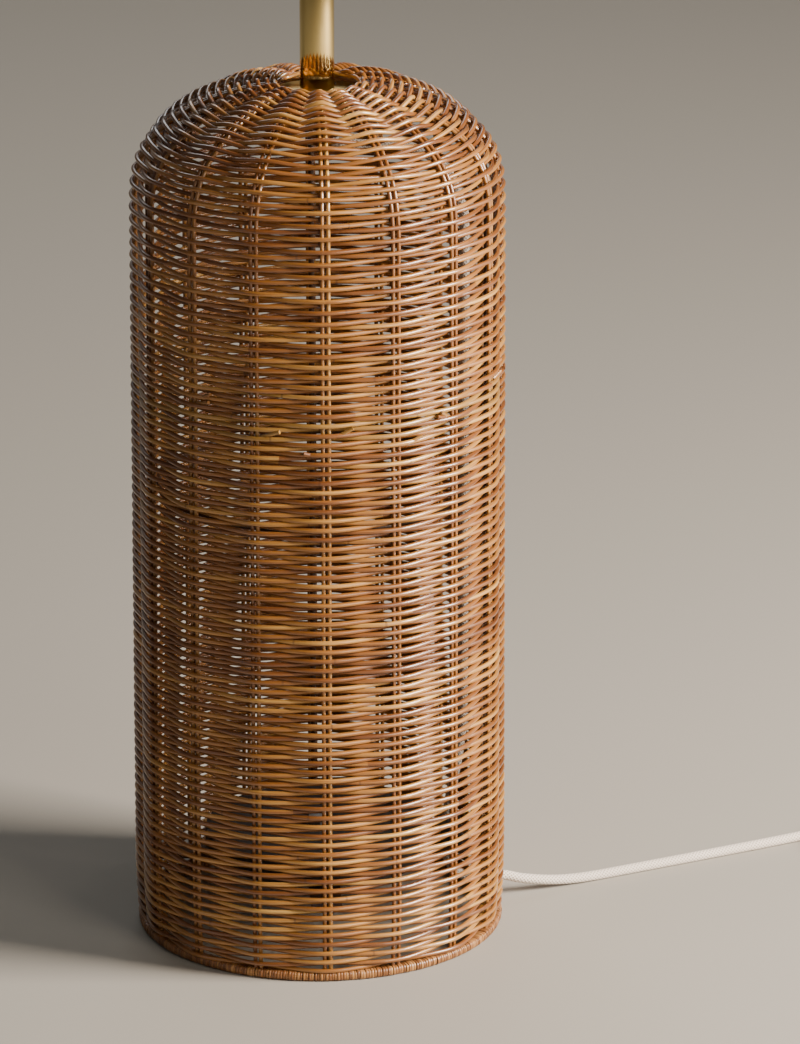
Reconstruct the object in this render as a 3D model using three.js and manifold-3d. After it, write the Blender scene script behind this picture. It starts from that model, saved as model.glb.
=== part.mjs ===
// Woven cane lamp: a tall closed dome of cane that stands on its own wrapped rim, with its steel
// frame, ballast, brass stem, lampholder and braided flex.
// Millimetres, +Z up. The origin is on the floor, on the axis of the stem. The front is -Y, and the
// flex leaves low on the +X side.
import * as THREE from 'three';
import { mergeVertices } from 'three/addons/utils/BufferGeometryUtils.js';
import Module from 'manifold-3d';

const wasm = await Module();
wasm.setup();

// ---------------------------------------------------------------- driving dimensions

const GAP = 0.3; // play between two pieces that touch
const WIDE_SIDES = 40; // facets round the large rings
const SMALL_SIDES = 24; // facets round the small turned pieces

// The weave's outer outline, from the foot to the hole in the crown.
const FOOT_RADIUS = 119.1;
const FLARE_RADIUS = 121.2;
const FLARE_HEIGHT = 60;
const WALL_RADIUS = 120;
const WALL_TOP = 487.2;
const CREST_HEIGHT = 567.8;
const CREST_RADIUS = 30;
const HOLE_RADIUS = 23.2;
const DOME_ROUNDNESS = 1.54; // how late the dome turns down
const DOME_SHOULDER = 2.74; // how square its shoulder is
const DOME_STEPS = 9;
const ZONE_JOIN = 371; // where the lower canes end and the upper ones begin

// The layers of the weave, as depths below the outer outline.
const WEAVER = 3;
const STAKE = 2.8;
const SKIN = 1.9;
const STAKE_DEPTH = WEAVER;
const STAKE_SPACING = 3.8; // between the middles of the two canes of a pair
const STAKE_PAIRS = 16;
const FIRST_STAKE = THREE.MathUtils.degToRad(-87); // the pair nearest the front
const STAKE_TOP_RADIUS = 33;

// The wrapped foot.
const BINDING_HEIGHT = 6.5;
const BINDING_STRIP = 1.1;
const BINDING_INNER = 110;
const BINDING_OUTER = 119.6;
const STAKE_SLOT = [112.9, 117.9];
const SHELL_START = BINDING_HEIGHT + 0.5;

// The steel frame.
const HOOP_WIRE = 4.4;
const RIB_WIRE = 4;
const RIB_DEPTH = 10.4;
const RIBS = 4;
const CROWN_HOOP_RADIUS = 30;
const CROWN_HOOP_HEIGHT = 554.6;
const MIDDLE_HOOP_HEIGHT = 300;
const CROSS_HEIGHT = 44;
const CROSS_THICKNESS = 3;
const CROSS_WIDTH = 20;
const BALLAST_RADIUS = 75;
const BALLAST_THICKNESS = 16;

// The stem and what clamps it.
const ROD_RADIUS = 5;
const ROD_BORE = 4;
const ROD_BOTTOM = 546;
const ROD_HOLE = ROD_RADIUS + GAP;
const DISC_RADIUS = 30;
const DISC_TOP = 558.6;
const DISC_THICKNESS = 1.4;
const STEM_RADIUS = 11;
const STEM_WALL = 1;
const STEM_TOP = 680;
const BOLT_BOTTOM = 33;
const BOLT_HEAD = 6.4;
const NUT_ACROSS_FLATS = 17;
const NUT_HEIGHT = 5;
const WASHER = 1.6;

// The lampholder.
const CAP_BOTTOM = STEM_TOP + 3 + 2 * GAP;
const CAP_HEIGHT = 22;
const CAP_RADIUS = 19.6;
const HOLDER_WALL = 1;
const HOLDER_TOP = CAP_BOTTOM + 64;
const LINER_RADIUS = 18.3;
const SCREW_RADIUS = 14;
const KNOB_RADIUS = 6.5;
const KNOB_LENGTH = 11;
const SWITCH_HEIGHT = CAP_BOTTOM + 13;

// The flex, its coil and its plug.
const FLEX_RADIUS = 3.25;
const FLEX_SIDES = 10;
const EXIT_ANGLE = THREE.MathUtils.degToRad(15);
const EXIT_HEIGHT = 15;
const CLAMP_ANGLE = THREE.MathUtils.degToRad(3); // the cross arm next to the exit
const CLAMP_HEIGHT = 12;
const CLAMP_DEPTH = 14;
const CLAMP_SIDES = [-5, 25];
const LEAD_RADIUS = 86; // how far from the axis the lead passes the clamp
const COIL_CENTRE = [391, 119.2];
const COIL_RADIUS = 36;
const COIL_ACROSS = 6 * FLEX_RADIUS;
const COIL_HEIGHT = 4 * FLEX_RADIUS;
const TIE_WIDTH = 12;
const TIE_THICKNESS = 0.8;
const PLUG_CENTRE = [433.5, 37];
const PLUG_SIZE = [50, 50];
const PLUG_HALF = 12;
const PIN_SPACING = 22.2;

// ---------------------------------------------------------------- materials

const CANE = { color: 0x9c683f, roughness: 0.4, metalness: 0 };
const STRIP = { color: 0x7b4a2c, roughness: 0.5, metalness: 0 };
const STEEL = { color: 0x4a4744, roughness: 0.5, metalness: 0.8 };
const IRON = { color: 0x3a3937, roughness: 0.8, metalness: 0.5 };
const ZINC = { color: 0xb8b8b4, roughness: 0.35, metalness: 0.9 };
const BRASS = { color: 0xc8a860, roughness: 0.18, metalness: 1 };
const CERAMIC = { color: 0xe8e4da, roughness: 0.3, metalness: 0 };
const UREA = { color: 0xe6e0d4, roughness: 0.35, metalness: 0 };
const NYLON = { color: 0x1e1d1c, roughness: 0.5, metalness: 0 };
const BRAID = { color: 0xe1d7cd, roughness: 0.9, metalness: 0 };
const PAPER = { color: 0x2b2a28, roughness: 0.8, metalness: 0 };

// ---------------------------------------------------------------- shapes

const part = new THREE.Group();

// Adds one named piece.
function piece(name, look, geometry, group = part) {
  const mesh = new THREE.Mesh(geometry, new THREE.MeshStandardMaterial(look));
  mesh.name = name;
  group.add(mesh);
  return mesh;
}

// The geometry with shared corners, its faces turned outwards.
function closed(geometry) {
  geometry.deleteAttribute('normal');
  geometry.deleteAttribute('uv');
  const merged = mergeVertices(geometry, 1e-4);
  const place = merged.attributes.position;
  const corner = (i) => new THREE.Vector3().fromBufferAttribute(place, merged.index.getX(i));
  let volume = 0;
  for (let i = 0; i < merged.index.count; i += 3) {
    volume += corner(i).dot(corner(i + 1).cross(corner(i + 2)));
  }
  if (volume < 0) merged.index.array.reverse();
  return merged;
}

// A closed outline of [radius, height] points turned round the Z axis.
function turned(outline, sides = SMALL_SIDES) {
  const loop = outline.map(([radius, height]) => new THREE.Vector2(radius, height));
  if (outline[0][0] > 0) loop.push(loop[0].clone());
  return closed(new THREE.LatheGeometry(loop, sides).rotateX(Math.PI / 2));
}

// A ring or a tube of rectangular section.
function ring(inner, outer, bottom, top, sides = SMALL_SIDES) {
  return turned([[inner, bottom], [outer, bottom], [outer, top], [inner, top]], sides);
}

// A solid round bar that stands on the Z axis.
function bar(radius, bottom, top, sides = SMALL_SIDES) {
  const length = top - bottom;
  const cylinder = new THREE.CylinderGeometry(radius, radius, length, sides);
  return closed(cylinder.rotateX(Math.PI / 2).translate(0, 0, bottom + length / 2));
}

// A hoop of round wire, given by the radius of its middle and its height.
function hoop(radius, height, wire, sides = WIDE_SIDES) {
  const corners = 6;
  const outline = [];
  for (let i = 0; i < corners; i += 1) {
    const angle = ((i + 0.5) / corners) * 2 * Math.PI;
    outline.push([radius + (wire / 2) * Math.cos(angle), height + (wire / 2) * Math.sin(angle)]);
  }
  return turned(outline, sides);
}

// A flat shape in X and Y with a height, standing from bottom upwards.
function plate(shape, bottom, thickness) {
  const options = { depth: thickness, bevelEnabled: false, curveSegments: SMALL_SIDES / 2 };
  return closed(new THREE.ExtrudeGeometry(shape, options).translate(0, 0, bottom));
}

// A solid of manifold-3d made from a closed geometry, and back.
function solid(geometry) {
  const vertProperties = geometry.attributes.position.array;
  const triVerts = new Uint32Array(geometry.index.array);
  return new wasm.Manifold(new wasm.Mesh({ numProp: 3, vertProperties, triVerts }));
}

function geometryOf(made) {
  const mesh = made.getMesh();
  const geometry = new THREE.BufferGeometry();
  geometry.setAttribute('position', new THREE.BufferAttribute(mesh.vertProperties, 3));
  geometry.setIndex(new THREE.BufferAttribute(mesh.triVerts, 1));
  return geometry;
}

const joined = (a, b) => geometryOf(solid(a).add(solid(b)));
const cut = (a, b) => geometryOf(solid(a).subtract(solid(b)));

// A box given by its two corners.
function box(low, high) {
  const size = high.map((value, i) => value - low[i]);
  const middle = high.map((value, i) => (value + low[i]) / 2);
  return closed(new THREE.BoxGeometry(...size).translate(...middle));
}

// A round tube of flex along chosen points.
function hose(points, steps) {
  const path = new THREE.CatmullRomCurve3(points.map((p) => new THREE.Vector3(...p)));
  const section = new THREE.Shape().absarc(0, 0, FLEX_RADIUS, 0, 2 * Math.PI);
  const options = { steps, extrudePath: path, curveSegments: FLEX_SIDES / 2, bevelEnabled: false };
  return closed(new THREE.ExtrudeGeometry(section, options));
}

// ---------------------------------------------------------------- the outline of the weave

// The radius of the wall at a height below the dome.
function wallRadius(height) {
  if (height < FLARE_HEIGHT) {
    const drop = 1 - height / FLARE_HEIGHT;
    return FLARE_RADIUS - (FLARE_RADIUS - FOOT_RADIUS) * drop ** 2.5;
  }
  const rise = (height - FLARE_HEIGHT) / (WALL_TOP - FLARE_HEIGHT);
  return FLARE_RADIUS + (WALL_RADIUS - FLARE_RADIUS) * rise;
}

// The outline from a height near the foot, up the wall and over the dome to a radius near its crest.
function meridian(start, last = CREST_RADIUS) {
  const line = [start, 28, FLARE_HEIGHT].map((z) => [wallRadius(z), z]);
  const stop = Math.asin((last - CREST_RADIUS) / (WALL_RADIUS - CREST_RADIUS));
  for (let i = DOME_STEPS; i >= 0; i -= 1) {
    const across = Math.sin(stop + (i / DOME_STEPS) * (Math.PI / 2 - stop));
    const rise = (1 - across ** DOME_ROUNDNESS) ** (1 / DOME_SHOULDER);
    const radius = CREST_RADIUS + (WALL_RADIUS - CREST_RADIUS) * across;
    line.push([radius, WALL_TOP + (CREST_HEIGHT - WALL_TOP) * rise]);
  }
  return line;
}

// The turn of the crest down into the hole of the crown.
function crownRoll() {
  const turn = CREST_RADIUS - HOLE_RADIUS;
  const line = [];
  for (let angle = 120; angle <= 180; angle += 30) {
    const a = THREE.MathUtils.degToRad(angle);
    const height = CREST_HEIGHT - turn + turn * Math.sin(a);
    line.push([CREST_RADIUS + turn * Math.cos(a), height]);
  }
  return line;
}

// A line moved to its inner side by a depth.
function inset(line, depth) {
  return line.map(([radius, height], i) => {
    const before = line[Math.max(i - 1, 0)];
    const after = line[Math.min(i + 1, line.length - 1)];
    const along = new THREE.Vector2(after[0] - before[0], after[1] - before[1]).normalize();
    return [radius - depth * along.y, height + depth * along.x];
  });
}

// The closed outline between two depths below a line.
function layer(line, from, to) {
  return [...inset(line, from), ...inset(line, to).reverse()];
}

// A cane or a wire that follows a closed outline, centred on the X axis and moved sideways.
function strip(outline, width, aside = 0) {
  const shape = new THREE.Shape(outline.map(([radius, height]) => new THREE.Vector2(radius, height)));
  const geometry = new THREE.ExtrudeGeometry(shape, { depth: width, bevelEnabled: false });
  return closed(geometry.translate(0, 0, -width / 2).rotateX(Math.PI / 2).translate(0, aside, 0));
}

// ---------------------------------------------------------------- the woven body

function wovenShell() {
  const foot = [SHELL_START, 28, FLARE_HEIGHT, ZONE_JOIN].map((z) => [wallRadius(z), z]);
  const lower = turned(layer(foot, 0, SKIN), WIDE_SIDES);
  const hole = bar(FLEX_RADIUS + 2 * GAP, 100, 130, SMALL_SIDES);
  hole.rotateY(Math.PI / 2).rotateZ(EXIT_ANGLE).translate(0, 0, EXIT_HEIGHT);
  piece('woven_wall', CANE, cut(lower, hole));
  const upper = [ZONE_JOIN + GAP, WALL_TOP].map((z) => [wallRadius(z), z]);
  piece('woven_upper_wall', CANE, turned(layer(upper, 0, SKIN), WIDE_SIDES));
  const start = WALL_TOP + GAP;
  const dome = [[wallRadius(start), start], ...meridian(start).slice(4), ...crownRoll()];
  piece('woven_dome', CANE, turned(layer(dome, 0, SKIN), WIDE_SIDES));
}

// Each pair is one long cane, folded at the foot, whose two halves rise side by side.
function stakePairs() {
  const start = BINDING_HEIGHT - GAP;
  const line = meridian(start, STAKE_TOP_RADIUS);
  const outline = layer(line, STAKE_DEPTH, STAKE_DEPTH + STAKE);
  const half = STAKE_SPACING / 2;
  const foldRadius = wallRadius(start) - STAKE_DEPTH - STAKE / 2;
  const fold = box(
    [foldRadius - 1.2, -half, start + 0.1],
    [foldRadius + 1.2, half, start + 2.5],
  );
  for (let i = 0; i < STAKE_PAIRS; i += 1) {
    const canes = joined(strip(outline, STAKE, -half), strip(outline, STAKE, half));
    const pair = piece(`stake_pair_${String(i + 1).padStart(2, '0')}`, CANE, joined(canes, fold));
    pair.rotation.z = FIRST_STAKE + (i / STAKE_PAIRS) * 2 * Math.PI;
  }
}

// The strip that is wound round the hoop, open above where the stakes come down into it.
function footBinding() {
  const [slotIn, slotOut] = STAKE_SLOT;
  const inner = BINDING_INNER + BINDING_STRIP;
  const outer = BINDING_OUTER - BINDING_STRIP;
  const top = BINDING_HEIGHT - BINDING_STRIP;
  const outline = [
    [BINDING_INNER + 1, 0],
    [BINDING_OUTER - 1, 0],
    [BINDING_OUTER, 1.5],
    [BINDING_OUTER, BINDING_HEIGHT],
    [slotOut, BINDING_HEIGHT],
    [slotOut, top],
    [outer, top],
    [outer, BINDING_STRIP],
    [inner, BINDING_STRIP],
    [inner, top],
    [slotIn, top],
    [slotIn, BINDING_HEIGHT],
    [BINDING_INNER, BINDING_HEIGHT],
    [BINDING_INNER, 1.5],
  ];
  piece('foot_binding', STRIP, turned(outline, WIDE_SIDES));
}

// ---------------------------------------------------------------- the frame inside

function frame() {
  const hoopRadius = (BINDING_INNER + BINDING_OUTER) / 2;
  piece('foot_hoop', STEEL, hoop(hoopRadius, BINDING_STRIP + GAP + HOOP_WIRE / 2, HOOP_WIRE));
  const crownHoop = hoop(CROWN_HOOP_RADIUS, CROWN_HOOP_HEIGHT, RIB_WIRE, SMALL_SIDES);
  piece('crown_hoop', STEEL, crownHoop);
  const insideRibs = wallRadius(MIDDLE_HOOP_HEIGHT) - RIB_DEPTH - RIB_WIRE - GAP;
  piece('middle_hoop', STEEL, hoop(insideRibs - RIB_WIRE / 2 - GAP, MIDDLE_HOOP_HEIGHT, RIB_WIRE));
  const reach = CROWN_HOOP_RADIUS + RIB_WIRE + 1;
  const line = meridian(2, reach);
  const outline = layer(line, RIB_DEPTH, RIB_DEPTH + RIB_WIRE);
  for (let i = 0; i < RIBS; i += 1) {
    const rib = piece(`frame_rib_${i + 1}`, STEEL, strip(outline, RIB_WIRE));
    rib.rotation.z = FIRST_STAKE + (i / RIBS) * 2 * Math.PI;
  }
}

// A cross of two flat bars that carries the ballast, its ends welded to the ribs.
function baseCross() {
  const reach = wallRadius(CROSS_HEIGHT) - RIB_DEPTH - RIB_WIRE - 2 * GAP;
  const half = CROSS_WIDTH / 2;
  const corners = [];
  for (let i = 0; i < RIBS; i += 1) {
    const turn = (i / RIBS) * 2 * Math.PI;
    for (const [x, y] of [[reach, -half], [reach, half], [half, half]]) {
      corners.push(new THREE.Vector2(x, y).rotateAround(new THREE.Vector2(), turn));
    }
  }
  const shape = new THREE.Shape(corners);
  shape.holes.push(new THREE.Path().absarc(0, 0, ROD_HOLE, 0, 2 * Math.PI));
  piece('base_cross', STEEL, plate(shape, CROSS_HEIGHT, CROSS_THICKNESS)).rotation.z = FIRST_STAKE;
}

function ballast() {
  const bottom = CROSS_HEIGHT + CROSS_THICKNESS + GAP;
  const top = bottom + BALLAST_THICKNESS;
  const outline = [
    [ROD_HOLE, bottom],
    [BALLAST_RADIUS - 2, bottom],
    [BALLAST_RADIUS, bottom + 2],
    [BALLAST_RADIUS, top - 3],
    [BALLAST_RADIUS - 3, top],
    [ROD_HOLE, top],
  ];
  piece('ballast_disc', IRON, turned(outline, WIDE_SIDES));
}

// A hexagonal nut on the rod.
function nut(name, bottom) {
  const shape = new THREE.Shape();
  for (let i = 0; i < 6; i += 1) {
    const angle = (i / 6) * 2 * Math.PI;
    const corner = NUT_ACROSS_FLATS / 2 / Math.cos(Math.PI / 6);
    shape[i ? 'lineTo' : 'moveTo'](corner * Math.cos(angle), corner * Math.sin(angle));
  }
  shape.closePath();
  shape.holes.push(new THREE.Path().absarc(0, 0, ROD_HOLE, 0, 2 * Math.PI));
  piece(name, ZINC, plate(shape, bottom, NUT_HEIGHT));
}

// The bolt that clamps the ballast to the cross.
function ballastBolt() {
  const washerTop = CROSS_HEIGHT - GAP;
  piece('base_washer', ZINC, ring(ROD_HOLE, 14, washerTop - WASHER, washerTop));
  nut('base_nut', washerTop - WASHER - GAP - NUT_HEIGHT);
  const headStart = CROSS_HEIGHT + CROSS_THICKNESS + 2 * GAP + BALLAST_THICKNESS;
  const head = bar(NUT_ACROSS_FLATS / 2, headStart, headStart + BOLT_HEAD, 6);
  const bolt = joined(bar(ROD_RADIUS, BOLT_BOTTOM, headStart + 1), head);
  piece('ballast_bolt', ZINC, bolt);
}

// The short threaded tube that clamps the stem, its disc and the lampholder on the crown's hoop.
function stem() {
  piece('threaded_rod', ZINC, ring(ROD_BORE, ROD_RADIUS, ROD_BOTTOM, CAP_BOTTOM + 4));
  const discBottom = DISC_TOP - DISC_THICKNESS;
  piece('crown_disc', BRASS, ring(ROD_HOLE, DISC_RADIUS, discBottom, DISC_TOP));
  nut('crown_nut', discBottom - GAP - NUT_HEIGHT);
  const tubeBottom = DISC_TOP + GAP;
  piece('stem_tube', BRASS, ring(STEM_RADIUS - STEM_WALL, STEM_RADIUS, tubeBottom, STEM_TOP));
  const outline = [
    [ROD_HOLE, STEM_TOP + GAP],
    [STEM_RADIUS + 1, STEM_TOP + GAP],
    [STEM_RADIUS + 1, STEM_TOP + GAP + 2],
    [STEM_RADIUS, STEM_TOP + GAP + 3],
    [ROD_HOLE, STEM_TOP + GAP + 3],
  ];
  piece('stem_cap', BRASS, turned(outline));
}

// ---------------------------------------------------------------- the lampholder

// The cup that is screwed onto the rod, with a hole in front for the switch.
function holderCap() {
  const wall = HOLDER_WALL;
  const outline = [
    [ROD_HOLE, CAP_BOTTOM],
    [9, CAP_BOTTOM],
    [9, CAP_BOTTOM + 4],
    [CAP_RADIUS - 2, CAP_BOTTOM + 6],
    [CAP_RADIUS, CAP_BOTTOM + 8],
    [CAP_RADIUS, CAP_BOTTOM + CAP_HEIGHT],
    [CAP_RADIUS - wall, CAP_BOTTOM + CAP_HEIGHT],
    [CAP_RADIUS - wall, CAP_BOTTOM + 8.6],
    [CAP_RADIUS - 3, CAP_BOTTOM + 7],
    [ROD_HOLE, CAP_BOTTOM + 5],
  ];
  const hole = bar(2.6, 10, 25).rotateX(Math.PI / 2).translate(0, 0, SWITCH_HEIGHT);
  piece('holder_cap', BRASS, cut(turned(outline), hole));
  const screw = bar(1.5, 9 + GAP, 11).rotateX(Math.PI / 2).translate(0, 0, CAP_BOTTOM + 2);
  piece('holder_grub_screw', ZINC, screw);
}

function holderShell() {
  const bottom = CAP_BOTTOM + CAP_HEIGHT + GAP;
  const wall = HOLDER_WALL;
  piece('holder_shell', BRASS, ring(CAP_RADIUS - wall, CAP_RADIUS, bottom, HOLDER_TOP));
  piece('holder_liner', CERAMIC, ring(15, LINER_RADIUS, bottom + 2, HOLDER_TOP + 1));
  const thread = [];
  const turns = 4;
  const pitch = 5;
  for (let i = 0; i <= 2 * turns; i += 1) {
    thread.push([SCREW_RADIUS - (i % 2) * 0.6, bottom + 8 + (i * pitch) / 2]);
  }
  const inner = SCREW_RADIUS - 1;
  const bore = [[inner, bottom + 8 + turns * pitch], [inner, bottom + 8]];
  piece('screw_shell', BRASS, turned([...thread, ...bore]));
  return bottom;
}

// The insulating block that holds the switch and carries the middle contact.
function switchParts(holderBottom) {
  const low = CAP_BOTTOM + 9;
  const blockTop = holderBottom + 1;
  piece('switch_body', NYLON, box([-11, -9, low], [11, 9, blockTop]));
  const tongueTop = blockTop + GAP + 6;
  const shape = new THREE.Shape([
    new THREE.Vector2(-6, blockTop + GAP),
    new THREE.Vector2(3, blockTop + GAP),
    new THREE.Vector2(7, tongueTop - 1),
    new THREE.Vector2(0, tongueTop),
    new THREE.Vector2(0, tongueTop - 0.7),
    new THREE.Vector2(5.6, tongueTop - 1.6),
    new THREE.Vector2(2.4, blockTop + GAP + 0.7),
    new THREE.Vector2(-6, blockTop + GAP + 0.7),
  ]);
  const tongue = new THREE.ExtrudeGeometry(shape, { depth: 5, bevelEnabled: false });
  tongue.translate(0, 0, -2.5).rotateX(Math.PI / 2);
  piece('centre_contact', BRASS, closed(tongue));
  const knobStart = CAP_RADIUS + 1.5;
  const shaft = bar(2, 9 + GAP, knobStart - GAP).rotateX(Math.PI / 2);
  piece('switch_shaft', BRASS, shaft.translate(0, 0, SWITCH_HEIGHT));
  const knob = bar(KNOB_RADIUS, knobStart, knobStart + 3);
  const key = box([-5.5, -1.6, knobStart + 2], [5.5, 1.6, knobStart + KNOB_LENGTH]);
  const turnKey = joined(knob, key).rotateX(Math.PI / 2).translate(0, 0, SWITCH_HEIGHT);
  piece('switch_knob', BRASS, turnKey);
}

// The two threaded rings that hold a shade's fitting between them.
function shadeRings(holderBottom) {
  const inner = CAP_RADIUS + GAP;
  const base = holderBottom + 10;
  const flange = [[inner, base], [29, base], [29, base + 1.6], [22.5, base + 1.6]];
  piece('shade_ring_lower', BRASS, turned([...flange, [22.5, base + 6], [inner, base + 6]]));
  const start = base + 8;
  const upper = [[inner, start], [25, start], [27, start + 2], [27, start + 4], [inner, start + 5]];
  piece('shade_ring_upper', BRASS, turned(upper));
}

// ---------------------------------------------------------------- the flex and its plug

// A point on the exit's line, at a distance from the stem's axis.
function exitPoint(radius, height) {
  return [radius * Math.cos(EXIT_ANGLE), radius * Math.sin(EXIT_ANGLE), height];
}

// The lead turns up behind the wall, follows it to the dome and enters the threaded tube there.
function innerLead() {
  const points = [113, 108, 104].map((radius) => exitPoint(radius, EXIT_HEIGHT));
  const rise = [
    [93, 19.5], [87.5, 29], [LEAD_RADIUS, 40], [LEAD_RADIUS, 60], [90, 82], [95, 112],
    [97, 145], [97, 300], [97, 455], [94, 480], [84, 502], [66, 516], [44, 522], [24, 523], [10, 526], [2, 535],
  ];
  for (const [radius, height] of rise) points.push(exitPoint(radius, height));
  points.push([0, 0, ROD_BOTTOM + 2]);
  const climb = bar(FLEX_RADIUS, ROD_BOTTOM + 1, CAP_BOTTOM + 7, FLEX_SIDES);
  piece('inner_lead', BRAID, joined(hose(points, 40), climb));
}

// The nylon block on the cross that keeps a pull on the flex from reaching the terminals.
function cordClamp() {
  const low = CROSS_HEIGHT + CROSS_THICKNESS + GAP;
  const high = low + CLAMP_HEIGHT;
  const [near, far] = [LEAD_RADIUS - CLAMP_DEPTH / 2, LEAD_RADIUS + CLAMP_DEPTH / 2];
  const block = box([near, CLAMP_SIDES[0], low], [far, CLAMP_SIDES[1], high]);
  const bore = bar(FLEX_RADIUS + GAP, low - 1, high + 1);
  const aside = EXIT_ANGLE - CLAMP_ANGLE;
  bore.translate(LEAD_RADIUS * Math.cos(aside), LEAD_RADIUS * Math.sin(aside), 0);
  piece('cord_clamp', NYLON, cut(block, bore)).rotation.z = CLAMP_ANGLE;
}

// The free flex: it dips from the weave to the floor and runs away behind the right side.
function freeFlex() {
  const route = [
    exitPoint(113 + GAP, EXIT_HEIGHT),
    [121.5, 32.6, 14],
    [132, 35.4, 10.9],
    [145.5, 40.8, 7.6],
    [158.8, 46.9, 5.2],
    [172, 53.4, 3.9],
    [185.7, 60.6, 3.35],
    [212.8, 74.4, FLEX_RADIUS],
    [240.1, 88.2, FLEX_RADIUS],
    [267.5, 102.3, FLEX_RADIUS],
    [295.1, 116.5, FLEX_RADIUS],
    [322.2, 131, FLEX_RADIUS],
    [348, 144.6, FLEX_RADIUS],
  ];
  piece('flex', BRAID, hose(route, 24));
  const tail = [
    [433.5, 93, COIL_HEIGHT - FLEX_RADIUS],
    [433.5, 80, PLUG_HALF - 1],
    [433.5, PLUG_CENTRE[1] + PLUG_SIZE[1] / 2 + GAP, PLUG_HALF],
  ];
  piece('flex_tail', BRAID, hose(tail, 4));
}

// The rest of the flex lies in one round coil, pinched by a strap on its far side.
function coil() {
  const low = COIL_RADIUS - COIL_ACROSS / 2;
  const high = COIL_RADIUS + COIL_ACROSS / 2;
  const half = TIE_WIDTH / 2;
  const strap = (grow, aside) => box(
    [low + grow, -half - aside, grow],
    [high - grow, half + aside, COIL_HEIGHT - grow],
  );
  const inset = TIE_THICKNESS + GAP;
  const outer = box([low - 1, -half - GAP, -1], [high + 1, half + GAP, COIL_HEIGHT + 1]);
  const groove = cut(outer, strap(inset, 2));
  const bundle = ring(low, high, 0, COIL_HEIGHT, WIDE_SIDES);
  const group = new THREE.Group();
  group.position.set(...COIL_CENTRE, 0);
  group.rotation.z = -Math.PI / 2;
  piece('flex_coil', BRAID, cut(bundle, groove), group);
  piece('coil_tie', PAPER, cut(strap(0, 0), strap(TIE_THICKNESS, 2)), group);
  part.add(group);
}

// A square plug with three flat pins, lying on its back with the pins up.
function plug() {
  const [wide, long] = PLUG_SIZE;
  const corner = 9;
  const outline = new THREE.Shape([
    new THREE.Vector2(-wide / 2, corner - long / 2),
    new THREE.Vector2(corner - wide / 2, -long / 2),
    new THREE.Vector2(wide / 2 - corner, -long / 2),
    new THREE.Vector2(wide / 2, corner - long / 2),
    new THREE.Vector2(wide / 2, long / 2 - corner / 2),
    new THREE.Vector2(wide / 2 - corner / 2, long / 2),
    new THREE.Vector2(corner / 2 - wide / 2, long / 2),
    new THREE.Vector2(-wide / 2, long / 2 - corner / 2),
  ]);
  const group = new THREE.Group();
  group.position.set(...PLUG_CENTRE, 0);
  piece('plug_cover', UREA, plate(outline, 0, PLUG_HALF), group);
  piece('plug_base', UREA, plate(outline, PLUG_HALF + GAP, PLUG_HALF), group);
  const face = 2 * PLUG_HALF + 2 * GAP;
  const row = 6;
  const pin = (name, x, y, across, deep, length) => piece(name, BRASS, box(
    [x - across / 2, y - deep / 2, face],
    [x + across / 2, y + deep / 2, face + length],
  ), group);
  pin('plug_live_pin', -PIN_SPACING / 2, row, 6.35, 4, 17.7);
  pin('plug_neutral_pin', PIN_SPACING / 2, row, 6.35, 4, 17.7);
  pin('plug_earth_pin', 0, row - PIN_SPACING, 4, 8, 22.7);
  piece('plug_screw', ZINC, bar(3.5, face, face + 1.5), group);
  part.add(group);
}

wovenShell();
stakePairs();
footBinding();
frame();
baseCross();
ballast();
ballastBolt();
stem();
holderCap();
const holderBottom = holderShell();
switchParts(holderBottom);
shadeRings(holderBottom);
cordClamp();
innerLead();
freeFlex();
coil();
plug();

export default part;
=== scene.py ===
# Woven cane lamp: a tall closed dome of cane on its own wrapped rim, with its steel frame, ballast,
# brass stem, lampholder and braided flex. +Z is up and the front is -Y. Sizes are in millimetres
# and become metres where a mesh is made.
import math
import random

import bmesh
import bpy
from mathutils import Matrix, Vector


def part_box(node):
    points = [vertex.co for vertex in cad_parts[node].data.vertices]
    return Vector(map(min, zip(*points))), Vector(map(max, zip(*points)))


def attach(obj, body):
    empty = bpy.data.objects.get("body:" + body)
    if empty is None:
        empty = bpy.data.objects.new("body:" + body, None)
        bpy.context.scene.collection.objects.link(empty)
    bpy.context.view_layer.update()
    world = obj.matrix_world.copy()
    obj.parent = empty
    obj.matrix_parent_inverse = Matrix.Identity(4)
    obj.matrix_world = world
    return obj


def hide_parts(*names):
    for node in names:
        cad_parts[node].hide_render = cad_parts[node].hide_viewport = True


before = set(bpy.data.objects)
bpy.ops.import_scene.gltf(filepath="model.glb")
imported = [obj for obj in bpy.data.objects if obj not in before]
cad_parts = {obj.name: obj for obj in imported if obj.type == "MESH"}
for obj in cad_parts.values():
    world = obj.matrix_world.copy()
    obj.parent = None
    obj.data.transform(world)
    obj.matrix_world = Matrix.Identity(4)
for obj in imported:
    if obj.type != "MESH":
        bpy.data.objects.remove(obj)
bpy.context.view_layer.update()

MM = 0.001
MATH = "ShaderNodeMath"
VECTOR_MATH = "ShaderNodeVectorMath"
MIX = "ShaderNodeMix"
NOISE = "ShaderNodeTexNoise"
ATTRIBUTE = "ShaderNodeAttribute"
RAMP = "ShaderNodeValToRGB"
BUMP = "ShaderNodeBump"

# ---- sizes, in millimetres

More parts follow.
